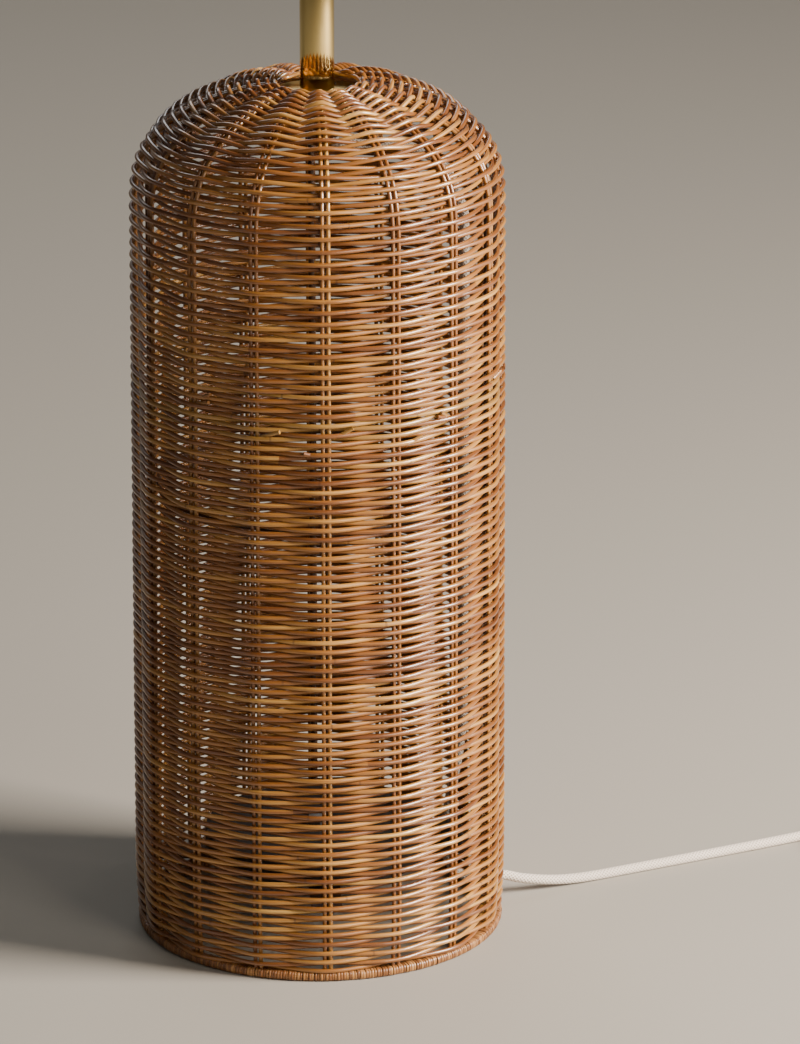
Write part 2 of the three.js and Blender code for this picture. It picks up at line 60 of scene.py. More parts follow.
FOOT_RADIUS = 119.1
FLARE_RADIUS = 121.2
FLARE_HEIGHT = 60
WALL_RADIUS = 120
WALL_TOP = 487.2
CREST_HEIGHT = 567.8
CREST_RADIUS = 30
ROLL_RADIUS = 6.8  # the crown's lip, rolled over the hoop into the hole
DOME_ROUNDNESS = 1.54
DOME_SHOULDER = 2.74
FIRST_ROW_HEIGHT = 1.6
FIRST_PAIR = math.radians(-87)
PAIRS = 16
PAIR_SPACING = 3.8
STAKE_RADIUS = 1.4
STAKE_DEPTH = 4.4
SWING = 2.75
RIB_DEPTH = 12.4
CANE_SIDES = 8
POINTS_A_TURN = 144
CROWN_START = 546  # measured up the weave: where the rows begin to bulge more over the crown
CROWN_EASE = 40
CROWN_BULGE = 0.55
ROLL_DEPTH = 2.4  # the rolled lip is thinner than the wall, and its canes bend less
ROLL_CALM = 1.6
ROLL_EASE = 6
JOIN_LENGTH = 369  # where the two zones of the body meet
UNEVENNESS = 0.8  # how far a weaver strays, and then a stake
WAVER = 0.7
CANE_A_RADIAN = 0.115  # metres of cane used a radian
WRAPS = 400
WRAP_INNER = 110.2
WRAP_HALF_WIDTH = 0.98
WRAP_THICKNESS = 0.55
ENDS = 20  # short ends of cane, and between what heights they show
ENDS_LOW = 352
ENDS_HIGH = 388

# Row spacing against the length measured up the weave from its first row.
ROW_SPACING = (
    (0, 3.1), (380, 3.12), (424, 3.5), (441, 3.66), (458, 3.92), (474, 4.03),
    (491, 4.2), (509, 4.3), (524, 3.62), (542, 3.72), (567, 3.3), (606, 3.15), (646, 2.9),
)

# The cane's thickness against the same length.
THICKNESS = ((0, 2.96), (80, 3.03), (170, 3.09), (376, 3.09), (390, 3.0), (600, 3.0), (646, 2.75))

FLEX_DIAMETER = 6.5
EXIT_ANGLE = math.radians(15)
EXIT_HEIGHT = 15
COIL_CENTRE = (391, 119.2)

HOOP_WIRE = 3.8
FOOT_HOOP = (114.8, 3.6)  # each hoop's radius and height
WAIST_HOOP = (103.3, 300)
LIP_HOOP = (30, 554.6)
BALLAST = (5.6, 75, 47.3, 63.3)  # bore, radius, low and high, as for the next three
DISC = (5.3, 30, 557.2, 558.6)
STEM = (10, 11, 558.9, 680)
COLLAR = (5.3, 12, 680.3, 683.3)
ROD_LOW = 546
ROD_HIGH = 687.6


def wall_radius(height):
    if height < FLARE_HEIGHT:
        flare = (1 - height / FLARE_HEIGHT) ** 2.5
        return FLARE_RADIUS - (FLARE_RADIUS - FOOT_RADIUS) * flare
    share = (height - FLARE_HEIGHT) / (WALL_TOP - FLARE_HEIGHT)
    return FLARE_RADIUS + (WALL_RADIUS - FLARE_RADIUS) * share


def outline(steps=400):
    """The weave's outer outline as (radius, height), from the foot over the crest into the hole."""
    points = [(wall_radius(WALL_TOP * i / steps), WALL_TOP * i / steps) for i in range(steps)]
    for i in range(steps + 1):
        across = math.cos(math.pi / 2 * i / steps)
        rise = (1 - across ** DOME_ROUNDNESS) ** (1 / DOME_SHOULDER)
        reach = WALL_RADIUS - CREST_RADIUS
        points.append((CREST_RADIUS + reach * across, WALL_TOP + (CREST_HEIGHT - WALL_TOP) * rise))
    for i in range(1, 25):
        a = math.pi / 2 * i / 24
        points.append((CREST_RADIUS - ROLL_RADIUS * math.sin(a),
                       CREST_HEIGHT - ROLL_RADIUS * (1 - math.cos(a))))
    return points


def walk(points, stops):
    """The places at the given lengths along a line of 2D points, each with its direction."""
    found, travelled, k = [], 0.0, 0
    for stop in stops:
        while k < len(points) - 2:
            step = math.dist(points[k], points[k + 1])
            if travelled + step >= stop:
                break
            travelled += step
            k += 1
        a, b = Vector(points[k]), Vector(points[k + 1])
        way = (b - a).normalized()
        found.append((a + way * (stop - travelled), way))
    return found


def between(table, x):
    """A table of (x, value) pairs read at x, straight from pair to pair."""
    for (a, low), (b, high) in zip(table, table[1:]):
        if x <= b:
            return low + (high - low) * max(0, x - a) / (b - a)
    return table[-1][1]


OUTLINE = outline()
OVER_FOOT = [p for p in OUTLINE if p[1] >= FIRST_ROW_HEIGHT or p[0] < 60]
OVER_LENGTH = sum(math.dist(a, b) for a, b in zip(OVER_FOOT, OVER_FOOT[1:]))


def row_lengths():
    lengths, at = [], 0.0
    while at < OVER_LENGTH - 0.6:
        lengths.append(at)
        at += between(ROW_SPACING, at)
    return lengths


# ---- helpers

def linear(code):
    """An sRGB hex colour as linear RGBA."""
    values = [int(code[i:i + 2], 16) / 255 for i in (1, 3, 5)]
    return (*(v / 12.92 if v <= 0.04045 else ((v + 0.055) / 1.055) ** 2.4 for v in values), 1)


def add(tree, kind, links=None, **settings):
    """A node with its settings; links says what each input takes: a node, a socket or a value."""
    node = tree.nodes.new(kind)
    for key, value in settings.items():
        setattr(node, key, value)
    for key, value in (links or {}).items():
        socket = node.inputs[key]
        if isinstance(value, bpy.types.Node):
            value = next(s for s in value.outputs if s.enabled)
        if isinstance(value, bpy.types.NodeSocket):
            tree.links.new(value, socket)
        else:
            socket.default_value = value
    return node


def growing_tree(name, given):
    """A Geometry Nodes tree with named inputs: returns the tree and its input sockets by name."""
    tree = bpy.data.node_groups.new(name, "GeometryNodeTree")
    face = tree.interface
    face.new_socket("Geometry", in_out="INPUT", socket_type="NodeSocketGeometry")
    face.new_socket("Geometry", in_out="OUTPUT", socket_type="NodeSocketGeometry")
    kinds = {int: "NodeSocketInt", float: "NodeSocketFloat",
             bpy.types.Material: "NodeSocketMaterial"}
    for key, value in given.items():
        socket = face.new_socket(key, in_out="INPUT", socket_type=kinds[type(value)])
        if type(value) in (int, float):
            socket.default_value = value
    group_input = tree.nodes.new("NodeGroupInput")
    return tree, group_input.outputs


def finish_tree(tree, geometry, material):
    real = add(tree, "GeometryNodeRealizeInstances", {"Geometry": geometry})
    smooth = add(tree, "GeometryNodeSetShadeSmooth", {"Geometry": real})
    done = add(tree, "GeometryNodeSetMaterial", {"Geometry": smooth, "Material": material})
    add(tree, "NodeGroupOutput", {"Geometry": done})


def new_object(name, mesh):
    piece = bpy.data.objects.new(name, mesh)
    bpy.context.scene.collection.objects.link(piece)
    return piece


def grown(name, start, tree, **given):
    """Runs a tree on a starting mesh and keeps the result as a plain mesh."""
    piece = new_object(name, start)
    modifier = piece.modifiers.new("growth", "NODES")
    modifier.node_group = tree
    for item in tree.interface.items_tree:
        key = item.name.replace(" ", "_").lower()
        if item.in_out == "INPUT" and key in given:
            modifier[item.identifier] = given[key]
    graph = bpy.context.evaluated_depsgraph_get()
    mesh = bpy.data.meshes.new_from_object(piece.evaluated_get(graph))
    piece.modifiers.clear()
    piece.data = mesh
    mesh.name = name
    return piece


def settle(piece, material, body, slot, *nodes):
    """Gives a finished piece its material and body, and hides the CAD nodes that it stands for. The
    slot is not used.
    """
    if material:
        piece.data.materials.clear()
        piece.data.materials.append(material)
    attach(piece, body)
    if nodes:
        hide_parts(*nodes)
    return piece


def smooth_mesh(mesh, angle=35):
    mesh.shade_smooth()
    mesh.set_sharp_from_angle(angle=math.radians(angle))


def eased_outline(points, ease, steps=2):
    """A closed outline with each corner rounded off by about ease millimetres."""
    out = []
    for i, point in enumerate(points):
        here = Vector(point)
        before, after = Vector(points[i - 1]), Vector(points[(i + 1) % len(points)])
        back, on = before - here, after - here
        cut = min(ease, back.length * 0.45, on.length * 0.45)
        a, b = here + back.normalized() * cut, here + on.normalized() * cut
        for k in range(steps + 1):
            t = k / steps
            out.append(a * (1 - t) ** 2 + here * 2 * t * (1 - t) + b * t * t)
    return out


def turned(name, points, ease=0.3, sides=96, ripple=None):
    """A ring turned about Z from a closed outline of (radius, height).
    ripple(angle, radius, height) moves the radius."""
    mesh = bpy.data.meshes.new(name)
    shape = bmesh.new()
    rings = []
    for r, z in eased_outline(points, ease):
        ring = []
        for k in range(sides):
            a = 2 * math.pi * k / sides
            q = r + (ripple(a, r, z) if ripple else 0)
            ring.append(shape.verts.new((q * math.cos(a) * MM, q * math.sin(a) * MM, z * MM)))
        rings.append(ring)
    for low, high in zip(rings, rings[1:] + rings[:1]):
        for k in range(sides):
            j = (k + 1) % sides
            shape.faces.new((low[k], low[j], high[j], high[k]))
    bmesh.ops.recalc_face_normals(shape, faces=shape.faces)
    shape.to_mesh(mesh)
    shape.free()
    smooth_mesh(mesh)
    return new_object(name, mesh)


def eased_copy(name, node, width, angle=25, segments=2):
    """A CAD node's solid with its edges rounded."""
    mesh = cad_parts[node].data.copy()
    mesh.name = name
    shape = bmesh.new()
    shape.from_mesh(mesh)
    bmesh.ops.remove_doubles(shape, verts=shape.verts, dist=2e-6)
    bmesh.ops.dissolve_limit(shape, angle_limit=math.radians(1), verts=shape.verts,
                             edges=shape.edges)
    edges = [e for e in shape.edges
             if e.is_manifold and e.calc_face_angle(0) > math.radians(angle)]
    bmesh.ops.bevel(shape, geom=edges, offset=width * MM, segments=segments, profile=0.6,
                    affect="EDGES", clamp_overlap=True)
    shape.to_mesh(mesh)
    shape.free()
    mesh.materials.clear()
    smooth_mesh(mesh, 50)
    return new_object(name, mesh)


def resampled(points, step):
    """Places every step along a smooth curve through the points."""
    points = [Vector(p) for p in points]
    ends = [points[0] * 2 - points[1], *points, points[-1] * 2 - points[-2]]
    fine = []
    for a, b, c, d in zip(ends, ends[1:], ends[2:], ends[3:]):
        for k in range(24):
            t = k / 24
            fine.append(0.5 * (2 * b + (c - a) * t + (2 * a - 5 * b + 4 * c - d) * t * t
                               + (3 * b - 3 * c + d - a) * t ** 3))
    fine.append(points[-1])
    places, left = [fine[0]], step
    for a, b in zip(fine, fine[1:]):
        span = (b - a).length
        while left <= span:
            places.append(a.lerp(b, left / span))
            left += step
        left -= span
    if (places[-1] - fine[-1]).length > step / 3:
        places.append(fine[-1])
    return places


def tube(name, path, radius, sides=16, closed=False, section=None):
    """A tube along a path in millimetres, with a UV map in metres along it and turns round it."""
    mesh = bpy.data.meshes.new(name)
    shape = bmesh.new()
    layer = shape.loops.layers.uv.new("UVMap")
    count = len(path)
    side = None
    rings, lengths, along = [], [], 0.0
    for i, place in enumerate(path):
        if closed:
            way = (path[(i + 1) % count] - path[i - 1]).normalized()
        else:
            way = (path[min(i + 1, count - 1)] - path[max(i - 1, 0)]).normalized()
        if side is None:
            side = way.cross(Vector((0, 0, 1)))
            if side.length < 0.1:
                side = way.cross(Vector((0, 1, 0)))
        side = (side - way * side.dot(way)).normalized()
        up = side.cross(way)
        if i:
            along += (place - path[i - 1]).length
        lengths.append(along)
        ring = []
        for k in range(sides):
            a = 2 * math.pi * k / sides
            if section:
                u, v = section[k]
            else:
                u, v = radius * math.cos(a), radius * math.sin(a)
            ring.append(shape.verts.new((place + side * u + up * v) * MM))
        rings.append(ring)
    spans = range(count if closed else count - 1)
    for i in spans:
        j = (i + 1) % count
        for k in range(sides):
            m = (k + 1) % sides
            face = shape.faces.new((rings[i][k], rings[j][k], rings[j][m], rings[i][m]))
            far = lengths[j] if j else along + (path[0] - path[-1]).length
            corners = ((lengths[i], k), (far, k), (far, k + 1), (lengths[i], k + 1))
            for loop, uv in zip(face.loops, corners):
                loop[layer].uv = (uv[0] * MM, uv[1] / sides)
    if not closed:
        shape.faces.new(rings[0])
        shape.faces.new(reversed(rings[-1]))
    bmesh.ops.recalc_face_normals(shape, faces=shape.faces)
    shape.to_mesh(mesh)
    shape.free()
    smooth_mesh(mesh, 60)
    return new_object(name, mesh)


# ---- camera

PITCH = 0.3245
TARGET = Vector((0.0524, 0, 0.2715))
DISTANCE = 4.4
camera_data = bpy.data.cameras.new("camera")
camera_data.sensor_width = 36
camera_data.lens = 235.03
camera_data.clip_end = 100
camera = bpy.data.objects.new("camera", camera_data)
camera.location = TARGET + DISTANCE * Vector((0, -math.cos(PITCH), math.sin(PITCH)))
camera.rotation_euler = (math.pi / 2 - PITCH, 0, 0)
bpy.context.scene.collection.objects.link(camera)
bpy.context.scene.camera = camera


# ---- materials

def material(name, colour, roughness, metallic=0.0, **inputs):
    """A material's shader with what is the same all over: returns its tree, shader and itself."""
    made = bpy.data.materials.new(name)
    made.use_nodes = True
    tree = made.node_tree
    shader = tree.nodes["Principled BSDF"]
    values = {"Base Color": linear(colour), "Roughness": roughness, "Metallic": metallic, **inputs}
    for key, value in values.items():
        shader.inputs[key].default_value = value
    return tree, shader, made


def ramp(tree, value, stops):
    node = add(tree, RAMP, {0: value})
    band = node.color_ramp
    while len(band.elements) < len(stops):
        band.elements.new(0.5)
    for element, (place, colour) in zip(band.elements, stops):
        element.position = place
        element.color = linear(colour)
    return node


def lacquered_cane():
    """Round rattan cane under clear lacquer: each length has its own brown, with long fibres,
    darker joints, and a wet highlight."""
    tree, shader, made = material("lacquered rattan cane", "#96623A", 0.36, **{
        "Coat Weight": 0.9, "Coat Roughness": 0.17, "Specular IOR Level": 0.5})
    along = add(tree, ATTRIBUTE, attribute_name="along")
    strand = add(tree, ATTRIBUTE, attribute_name="strand")
    girth = add(tree, ATTRIBUTE, attribute_name="girth")
    # Each cane is about 0.6 m long before the next one is laid in.
    place = add(tree, MATH, {0: along.outputs["Fac"], 1: 1 / 0.61}, operation="MULTIPLY")
    number = add(tree, MATH, {0: place}, operation="FLOOR")
    own = add(tree, MATH, {0: strand.outputs["Fac"], 1: 53.7, 2: number},
              operation="MULTIPLY_ADD")
    tone = add(tree, "ShaderNodeTexWhiteNoise", {"W": own}, noise_dimensions="1D")
    # Fibres run along the cane: about 0.5 mm apart round it and 40 mm long.
    lengthwise = add(tree, "ShaderNodeCombineXYZ", {"Z": add(
        tree, MATH, {0: along.outputs["Fac"], 1: 24}, operation="MULTIPLY")})
    fibre_place = add(tree, VECTOR_MATH, {
        0: girth.outputs["Vector"], 1: (2.2, 2.2, 2.2), 2: lengthwise}, operation="MULTIPLY_ADD")
    fibre_own = add(tree, VECTOR_MATH, {0: fibre_place, 1: add(
        tree, "ShaderNodeCombineXYZ", {"X": own})}, operation="ADD")
    fibre = add(tree, NOISE, {"Vector": fibre_own, "Scale": 1, "Detail": 4, "Roughness": 0.62})
    patch = add(tree, NOISE, {"Vector": add(tree, "ShaderNodeCombineXYZ", {
        "X": own, "Y": add(tree, MATH, {0: along.outputs["Fac"], 1: 5}, operation="MULTIPLY")}),
        "Scale": 1, "Detail": 2})
    mixed = add(tree, MATH, {0: tone.outputs["Value"], 1: 0.26}, operation="MULTIPLY")
    mixed = add(tree, MATH, {0: patch, 1: 0.30, 2: mixed}, operation="MULTIPLY_ADD")
    mixed = add(tree, MATH, {0: fibre, 1: 0.50, 2: mixed}, operation="MULTIPLY_ADD")
    browns = ramp(tree, mixed, ((0.22, "#43210A"), (0.38, "#6B3C15"), (0.51, "#875421"),
                                (0.64, "#A57333"), (0.80, "#CCA256")))
    # The canes where the body's two zones meet are paler and more yellow.
    height = add(tree, "ShaderNodeSeparateXYZ", {0: add(
        tree, "ShaderNodeTexCoord").outputs["Object"]})
    rise = add(tree, "ShaderNodeMapRange", {0: height.outputs["Z"], 1: 0.359, 2: 0.364})
    fall = add(tree, "ShaderNodeMapRange", {0: height.outputs["Z"], 1: 0.383, 2: 0.378})
    band = add(tree, MATH, {0: rise, 1: fall}, operation="MULTIPLY")
    chosen = add(tree, MATH, {0: tone.outputs["Value"], 1: 0.45}, operation="GREATER_THAN")
    yellow = add(tree, MATH, {0: band, 1: chosen}, operation="MULTIPLY")
    yellow = add(tree, MATH, {0: yellow, 1: 0.65}, operation="MULTIPLY")
    honey = add(tree, MIX, {0: yellow, 6: browns, 7: linear("#A07A38")}, data_type="RGBA")
    # A joint every 190 mm leaves a thin dark ring.
    joint = add(tree, MATH, {0: add(tree, MATH, {0: along.outputs["Fac"], 1: own},
                             operation="ADD"), 1: 0.19}, operation="PINGPONG")
    ring = add(tree, "ShaderNodeMapRange", {0: joint, 1: 0.0009, 2: 0.0004, 3: 0.0, 4: 0.5})
    ringed = add(tree, MIX, {0: ring, 6: honey, 7: linear("#4A2A18")}, data_type="RGBA")
    tree.links.new(ringed.outputs[2], shader.inputs["Base Color"])
    gloss = add(tree, "ShaderNodeMapRange", {0: fibre, 3: 0.28, 4: 0.5})
    tree.links.new(gloss.outputs[0], shader.inputs["Roughness"])
    bump = add(tree, BUMP, {"Strength": 0.55, "Distance": 0.12 * MM, "Height": fibre})
    tree.links.new(bump.outputs[0], shader.inputs["Normal"])
    return made


def split_cane():
    """Flat outer cane split off the pole, wound wet round the rim: glossy skin, fine fibres."""
    tree, shader, made = material("split cane strip", "#7C4A2A", 0.42, **{
        "Coat Weight": 0.3, "Coat Roughness": 0.2})
    tone = add(tree, ATTRIBUTE, attribute_name="tone")
    place = add(tree, "ShaderNodeTexCoord")
    stretched = add(tree, "ShaderNodeMapping", {"Vector": place.outputs["Object"],
                                                "Scale": (1400, 1400, 260)})
    fibre = add(tree, NOISE, {"Vector": stretched, "Scale": 1, "Detail": 3})
    mixed = add(tree, MATH, {0: tone.outputs["Fac"], 1: 0.7}, operation="MULTIPLY")
    mixed = add(tree, MATH, {0: fibre, 1: 0.35, 2: mixed}, operation="MULTIPLY_ADD")
    browns = ramp(tree, mixed, ((0.15, "#6A4220"), (0.45, "#82532A"), (0.7, "#946537"),
                                (0.95, "#A97C48")))
    tree.links.new(browns.outputs[0], shader.inputs["Base Color"])
    bump = add(tree, BUMP, {"Strength": 0.4, "Distance": 0.08 * MM, "Height": fibre})
    tree.links.new(bump.outputs[0], shader.inputs["Normal"])
    return made


def metal(name, colour, dull, roughness, grain, depth):
    """A metal, duller in clouds, with a fine grain: its size and its height in millimetres."""
    tree, shader, made = material(name, colour, roughness, 1.0)
    place = add(tree, "ShaderNodeTexCoord")
    fine = add(tree, NOISE, {"Vector": place.outputs["Object"], "Scale": 1000 / grain,
                             "Detail": 3})
    cloud = add(tree, NOISE, {"Vector": place.outputs["Object"], "Scale": 55, "Detail": 4,
                              "Roughness": 0.6})
    smear = add(tree, "ShaderNodeMapRange", {0: cloud, 1: 0.35, 2: 0.7, 3: roughness * 0.8,
                                             4: roughness * 1.6})
    tree.links.new(smear.outputs[0], shader.inputs["Roughness"])
    tint = add(tree, MIX, {0: cloud, 6: linear(colour), 7: linear(dull)},
               data_type="RGBA")
    tree.links.new(tint.outputs[2], shader.inputs["Base Color"])
    bump = add(tree, BUMP, {"Strength": 0.3, "Distance": depth * MM, "Height": fine})
    tree.links.new(bump.outputs[0], shader.inputs["Normal"])
    return made


def coated(name, colour, shade, roughness, grain, depth, **inputs):
    """Paint, plastic or glaze: two close tones in clouds and a surface texture."""
    tree, shader, made = material(name, colour, roughness, **inputs)
    place = add(tree, "ShaderNodeTexCoord")
    fine = add(tree, NOISE, {"Vector": place.outputs["Object"], "Scale": 1000 / grain,
                             "Detail": 3})
    cloud = add(tree, NOISE, {"Vector": place.outputs["Object"], "Scale": 40, "Detail": 4})
    tint = add(tree, MIX, {0: cloud, 6: linear(colour), 7: linear(shade)}, data_type="RGBA")
    tree.links.new(tint.outputs[2], shader.inputs["Base Color"])
    rough = add(tree, "ShaderNodeMapRange", {0: fine, 3: roughness * 0.85, 4: roughness * 1.2})
    tree.links.new(rough.outputs[0], shader.inputs["Roughness"])
    bump = add(tree, BUMP, {"Strength": 0.5, "Distance": depth * MM, "Height": fine})
    tree.links.new(bump.outputs[0], shader.inputs["Normal"])
    return made


def braided_cotton():
    """A cotton overbraid: eight yarns each way round the flex, on opposite helices, which meet
    in small chevrons a few to the centimetre."""
    tree, shader, made = material("braided cotton flex", "#E4DACE", 0.88, **{
        "Sheen Weight": 0.3, "Sheen Roughness": 0.5})
    uv = add(tree, "ShaderNodeSeparateXYZ", {0: add(tree, "ShaderNodeTexCoord").outputs["UV"]})
    waves = []
    for lean in (1, -1):
        turn = add(tree, MATH, {0: uv.outputs["Y"], 1: lean * 8.0}, operation="MULTIPLY")
        lead = add(tree, MATH, {0: uv.outputs["X"], 1: 1 / 0.0026, 2: turn},
                   operation="MULTIPLY_ADD")
        wave = add(tree, MATH, {0: add(tree, MATH, {0: lead, 1: 2 * math.pi},
                                operation="MULTIPLY")}, operation="SINE")
        waves.append(wave)
    weave = add(tree, MATH, {0: waves[0], 1: waves[1]}, operation="MAXIMUM")
    height = add(tree, "ShaderNodeMapRange", {0: weave, 1: -0.4, 2: 1.0})
    place = add(tree, "ShaderNodeTexCoord").outputs["Object"]
    fuzz = add(tree, NOISE, {"Vector": place, "Scale": 2500, "Detail": 2})
    soil = add(tree, NOISE, {"Vector": place, "Scale": 30, "Detail": 3})
    # The braid's valleys between the yarns are painted darker than their crests: painted shade in
    # the weave's crevices, laid over the cotton's even cream.
    yarn = add(tree, MIX, {0: height, 6: linear("#A89A8A"), 7: linear("#EBE2D7")},
               data_type="RGBA")
    aged = add(tree, MIX, {0: add(tree, "ShaderNodeMapRange", {0: soil, 4: 0.35}), 6: yarn,
                           7: linear("#CDBEA9")}, data_type="RGBA")
    tree.links.new(aged.outputs[2], shader.inputs["Base Color"])
    total = add(tree, MATH, {0: fuzz, 1: 0.25, 2: height}, operation="MULTIPLY_ADD")
    bump = add(tree, BUMP, {"Strength": 0.8, "Distance": 0.35 * MM, "Height": total})
    tree.links.new(bump.outputs[0], shader.inputs["Normal"])
    return made


CANE = lacquered_cane()
STRIP = split_cane()
BRASS = metal("polished lacquered brass", "#E0CA8C", "#D0B570", 0.07, 0.25, 0.002)
SATIN_BRASS = metal("satin brass", "#D8C78E", "#C8B478", 0.34, 0.3, 0.004)
STEEL_PAINT = coated("brown painted steel", "#3C281A", "#4C3524", 0.42, 0.8, 0.03)
IRON_PAINT = coated("painted cast iron", "#2A2928", "#3B3A38", 0.7, 0.9, 0.12)
ZINC = metal("zinc plated steel", "#BFC0BD", "#A7A8A4", 0.32, 0.4, 0.006)
GLAZE = coated("glazed porcelain", "#EFEAE0", "#E7E0D2", 0.14, 2.5, 0.01,
               **{"Coat Weight": 0.6, "Coat Roughness": 0.05})
UREA = coated("moulded urea plastic", "#E9E4D8", "#E3DCCE", 0.34, 0.5, 0.01)
NYLON = coated("moulded black nylon", "#1E1D1C", "#262422", 0.5, 0.4, 0.02)
TAPE = coated("woven nylon strap", "#232120", "#302D2B", 0.85, 0.5, 0.08)
BRAID = braided_cotton()


# ---- the flex

def exit_point(radius, height):
    return (radius * math.cos(EXIT_ANGLE), radius * math.sin(EXIT_ANGLE), height)


FLEX_ROUTE = (
    exit_point(113.3, EXIT_HEIGHT), (121.5, 32.6, 14), (132, 35.4, 10.9), (145.5, 40.8, 7.6),
    (158.8, 46.9, 5.2), (172, 53.4, 3.9), (185.7, 60.6, 3.35), (212.8, 74.4, 3.25),
    (240.1, 88.2, 3.25), (267.5, 102.3, 3.25), (295.1, 116.5, 3.25), (322.2, 131, 3.25),
    (348, 144.6, 3.25),
)
COIL_RADII = (42.5, 36, 29.5, 29.5, 36, 42.5, 42.5)
COIL_HEIGHTS = (3.25, 3.25, 3.25, 9.75, 9.75, 9.75, 9.75)
COIL_TURNS = 6
COIL_START = (-20, 37.6)  # where the flex meets the coil, from the coil's centre
LANE_CHANGE = 1 / 6  # of a turn
STRAP_HALF = 0.35  # half the strap's thickness
FLEX_TAIL = ((433.5, 106, 9.75), (433.5, 93, 9.75), (433.5, 80, 11), (433.5, 62.3, 12))


def coil_points():
    """Six turns, clockwise from above: three inwards on the floor and three outwards on them."""
    arrive = math.atan2(COIL_START[1], COIL_START[0])
    total = arrive + 2 * math.pi * COIL_TURNS
    points = []
    steps = COIL_TURNS * 72 + 24
    for k in range(steps + 1):
        swept = total * k / steps
        turn = min(swept / (2 * math.pi), COIL_TURNS)
        lane = min(int(turn), COIL_TURNS - 1)
        part = max(0.0, 1 - (lane + 1 - turn) / LANE_CHANGE)
        part = part * part * (3 - 2 * part)
        after = min(lane + 1, COIL_TURNS)
        r = COIL_RADII[lane] * (1 - part) + COIL_RADII[after] * part
        z = COIL_HEIGHTS[lane] * (1 - part) + COIL_HEIGHTS[after] * part
        a = arrive - swept
        points.append((COIL_CENTRE[0] + r * math.cos(a), COIL_CENTRE[1] + r * math.sin(a), z))
    return points


flex_path = resampled([*FLEX_ROUTE, *coil_points(), *FLEX_TAIL], 2.0)
flex = tube("flex_cord", flex_path, FLEX_DIAMETER / 2, 20)
settle(flex, BRAID, "root", "braid", "flex", "flex_coil", "flex_tail")

tie_low, tie_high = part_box("coil_tie")


def coil_strap():
    """A strap round the coil's turns."""
    middle = (tie_low + tie_high) / 2 / MM
    wide = (tie_high.y - tie_low.y) / MM / 2
    tall = (tie_high.z - tie_low.z) / MM / 2
    side, over, under = wide + STRAP_HALF, tall + STRAP_HALF, STRAP_HALF + 0.05 - tall
    corners = [(-side, under), (side, under), (side, over), (-side, over)]
    line = eased_outline(corners, 3, 6)
    path = [Vector((middle.x, middle.y + y, middle.z + z)) for y, z in line]
    half = (tie_high.x - tie_low.x) / MM / 2 - 0.3
    section = [(-half, -STRAP_HALF), (half, -STRAP_HALF), (half, STRAP_HALF), (-half, STRAP_HALF)]
    return tube("coil_strap", path, 1, 4, True, section)


strap = settle(coil_strap(), TAPE, "root", "tie", "coil_tie")

for name, node, ease, surface, slot in (
    ("plug_top", "plug_cover", 1.6, UREA, "urea"),
    ("plug_body", "plug_base", 1.4, UREA, "urea"),
    ("plug_live", "plug_live_pin", 0.5, BRASS, "polished_brass"),
    ("plug_neutral", "plug_neutral_pin", 0.5, BRASS, "polished_brass"),
    ("plug_earth", "plug_earth_pin", 0.6, BRASS, "polished_brass"),
    ("plug_fixing_screw", "plug_screw", 0.3, ZINC, "zinc"),
):
    settle(eased_copy(name, node, ease, 25, 3), surface, "root", slot, node)


# ---- the weave

def rows_mesh():
    """One point a row, with the way inwards, and how deep and thick the cane lies there."""
    lengths = row_lengths()
    places = walk(OVER_FOOT, lengths)
    mesh = bpy.data.meshes.new("rows")
    mesh.from_pydata([(p[0] * MM, 0, p[1] * MM) for p, _ in places], [], [])
    inward = mesh.attributes.new("inward", "FLOAT_VECTOR", "POINT")
    lie = mesh.attributes.new("lie", "FLOAT_VECTOR", "POINT")
    crest = OVER_LENGTH - ROLL_RADIUS * math.pi / 2
    for i, (length, (place, way)) in enumerate(zip(lengths, places)):
        inward.data[i].vector = (-way[1], 0, way[0])
        roll = min(1, max(0, (length - crest) / ROLL_EASE + 0.5))
        crown = min(1, max(0, (length - CROWN_START) / CROWN_EASE)) * (1 - roll)
        depth = STAKE_DEPTH * (1 - roll) + ROLL_DEPTH * roll - 0.2 * crown
        swing = SWING + CROWN_BULGE * crown - ROLL_CALM * roll
        thick = between(THICKNESS, length)
        lie.data[i].vector = (depth * MM, swing * MM, thick * MM)
    return mesh, lengths


def round_cane(tree, line, size):
    """A round cane along a mesh line; girth says where a point lies round the cane."""
    curve = add(tree, "GeometryNodeMeshToCurve", {"Mesh": line})
    ring = add(tree, "GeometryNodeCurvePrimitiveCircle", {"Resolution": CANE_SIDES, "Radius": 0.5})
    ring = add(tree, "GeometryNodeStoreNamedAttribute", {
        "Geometry": ring, "Name": "girth", "Value": add(tree, "GeometryNodeInputPosition")},
        data_type="FLOAT_VECTOR")
    return add(tree, "GeometryNodeCurveToMesh", {
        "Curve": curve, "Profile Curve": ring, "Scale": size, "Fill Caps": True})


